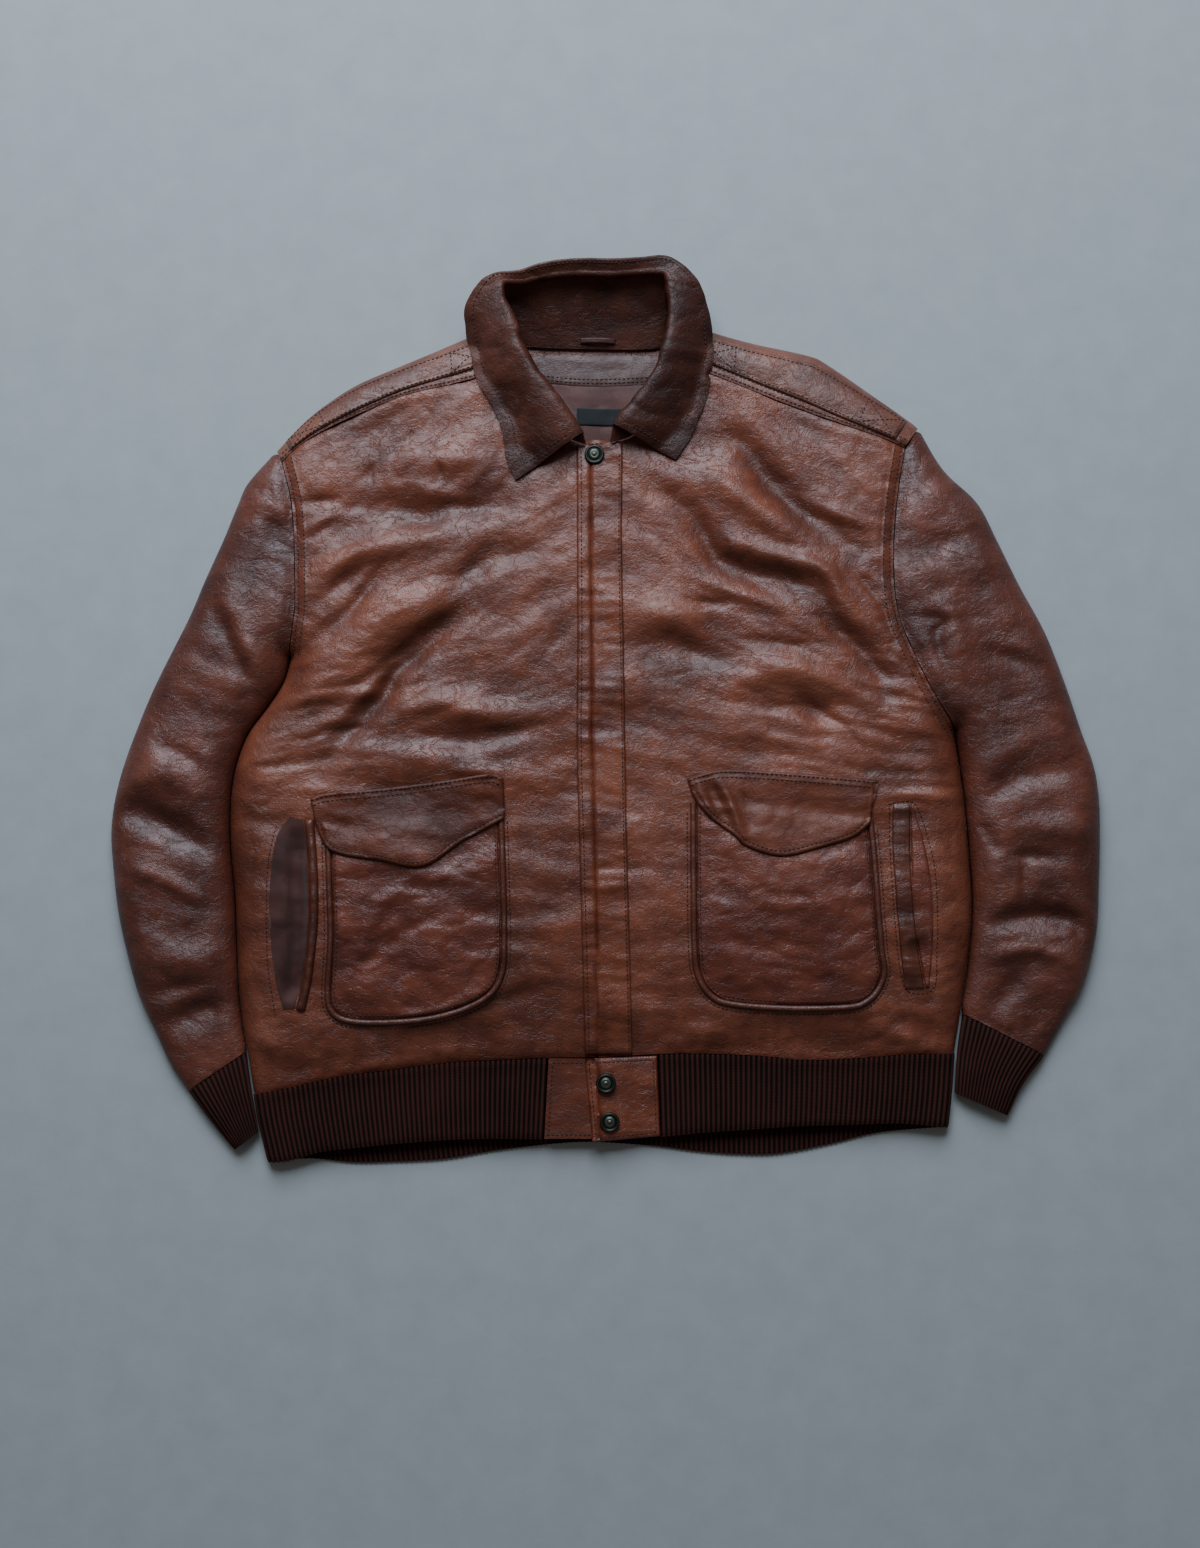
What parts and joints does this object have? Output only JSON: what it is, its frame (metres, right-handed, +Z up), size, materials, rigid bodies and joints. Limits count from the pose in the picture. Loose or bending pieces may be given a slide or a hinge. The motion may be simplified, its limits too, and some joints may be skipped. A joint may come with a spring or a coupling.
{
  "type": "leather jacket",
  "caption": "Worn leather flight jacket laid flat on its back, fronts fastened, with patch pockets, collar and rib-knit waistband and cuffs.",
  "frame": {"origin": "middle of the jacket's bounding box, on the surface it lies on", "axes": "+X towards the wearer's left sleeve, +Y towards the collar, +Z up from the surface"},
  "size_m": [0.8836, 0.8119, 0.0517],
  "materials": {
    "body_leather": "worn dark brown grain leather with a soft sheen",
    "trim_leather": "worn dark brown grain leather, stitched",
    "collar_leather": "worn dark brown grain leather, creased",
    "sleeve_leather": "worn dark brown grain leather with elbow creases",
    "pocket_leather": "worn dark brown grain leather, piped and stitched",
    "rib_knit": "dark brown wool rib knit",
    "lining_cloth": "plain woven brown lining",
    "pocket_lining_cloth": "dark red-brown pocket lining",
    "label_cloth": "bare black woven label",
    "antique_metal": "dark antique metal snap caps"
  },
  "bodies": {
    "root": {"back_panel": "body_leather", "front_right": "body_leather", "front_left": "body_leather", "shoulder_right": "body_leather", "shoulder_left": "body_leather", "placket": "trim_leather", "epaulette_right": "trim_leather", "epaulette_left": "trim_leather", "waist_tab_right": "trim_leather", "waist_tab_left": "trim_leather", "hand_welt_right": "trim_leather", "hand_welt_left": "trim_leather", "hand_leaf_left": "trim_leather", "pocket_piping_right": "trim_leather", "pocket_piping_left": "trim_leather", "collar": "collar_leather", "neck_facing": "collar_leather", "hanger_loop": "collar_leather", "sleeve_right": "sleeve_leather", "sleeve_left": "sleeve_leather", "pocket_right": "pocket_leather", "pocket_left": "pocket_leather", "pocket_flap_right": "pocket_leather", "pocket_flap_left": "pocket_leather", "waistband_right": "rib_knit", "waistband_left": "rib_knit", "waistband_back": "rib_knit", "cuff_right": "rib_knit", "cuff_left": "rib_knit", "lining": "lining_cloth", "hand_lining_right": "pocket_lining_cloth", "label": "label_cloth", "snap_top": "antique_metal", "snap_tab_upper": "antique_metal", "snap_tab_lower": "antique_metal"}
  },
  "joints": []
}
